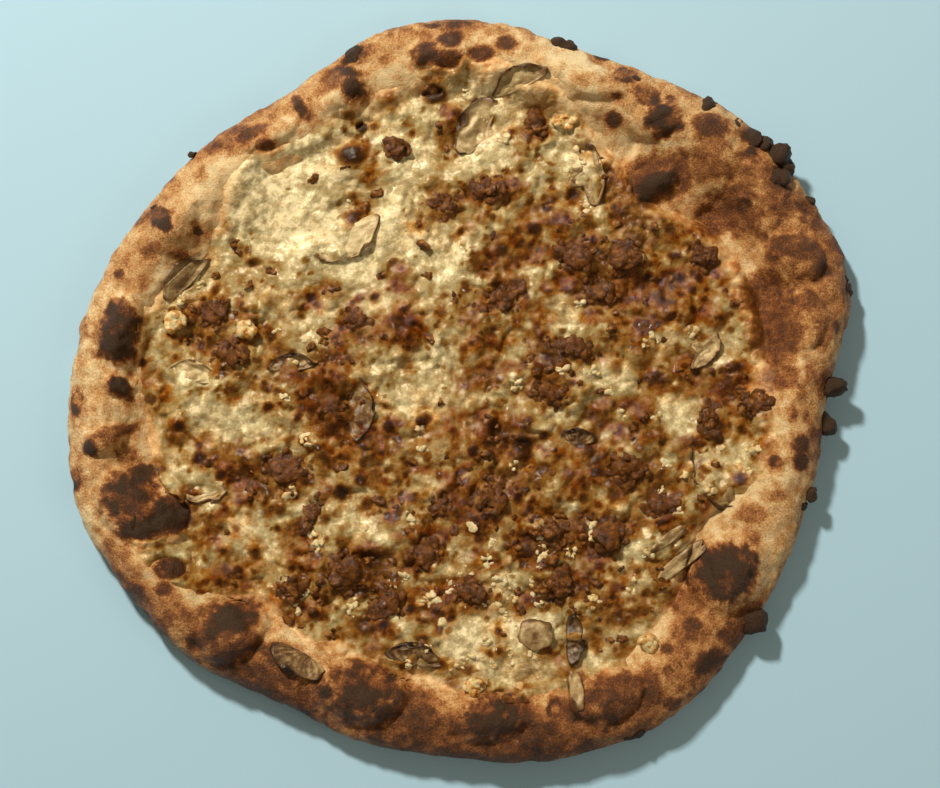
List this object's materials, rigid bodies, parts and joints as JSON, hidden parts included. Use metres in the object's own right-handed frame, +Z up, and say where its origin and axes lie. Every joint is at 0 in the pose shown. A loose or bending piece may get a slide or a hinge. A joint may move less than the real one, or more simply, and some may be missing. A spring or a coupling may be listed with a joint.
{
  "type": "white pizza with sausage and mushrooms",
  "caption": "Whole wood-fired white pizza with a puffed, charred rim, melted cheese, crumbled sausage and sliced mushrooms.",
  "frame": {"origin": "under the middle of the pizza's bounding box, on the flat base of the dough", "axes": "+Z up out of the topped side; +Y away from the diner, across the middle; +X to the diner's right, along the widest way"},
  "size_m": [0.3232, 0.305, 0.0253],
  "materials": {
    "crust": "baked wheat dough, matt and floury, with toasted patches and black blisters",
    "cheese": "melted mozzarella, softly glossy with oil and browned spots",
    "mushroom": "baked mushroom slice, satin, with a dark rim",
    "sausage": "fried crumbled sausage, oily and reddish brown",
    "curd": "soft curd cheese, satin, toasted on top"
  },
  "bodies": {
    "root": {"cheese": "cheese", "crust": "crust", "curd_01": "curd", "curd_02": "curd", "curd_03": "curd", "curd_04": "curd", "curd_05": "curd", "mushroom_01": "mushroom", "mushroom_02": "mushroom", "mushroom_03": "mushroom", "mushroom_04": "mushroom", "mushroom_05": "mushroom", "mushroom_06": "mushroom", "mushroom_07": "mushroom", "mushroom_08": "mushroom", "mushroom_09": "mushroom", "mushroom_10": "mushroom", "mushroom_11": "mushroom", "mushroom_12": "mushroom", "mushroom_13": "mushroom", "mushroom_14": "mushroom", "mushroom_15": "mushroom", "sausage_01": "sausage", "sausage_02": "sausage", "sausage_03": "sausage", "sausage_04": "sausage", "sausage_05": "sausage", "sausage_06": "sausage", "sausage_07": "sausage", "sausage_08": "sausage", "sausage_09": "sausage", "sausage_10": "sausage", "sausage_11": "sausage", "sausage_12": "sausage", "sausage_13": "sausage", "sausage_14": "sausage", "sausage_15": "sausage", "sausage_16": "sausage", "sausage_17": "sausage", "sausage_18": "sausage", "sausage_19": "sausage", "sausage_20": "sausage", "sausage_21": "sausage", "sausage_22": "sausage", "sausage_23": "sausage", "sausage_24": "sausage", "sausage_25": "sausage", "sausage_26": "sausage", "sausage_27": "sausage", "sausage_28": "sausage", "sausage_29": "sausage", "sausage_30": "sausage", "stem_01": "mushroom", "stem_02": "mushroom", "stem_03": "mushroom", "stem_04": "mushroom"}
  },
  "joints": []
}
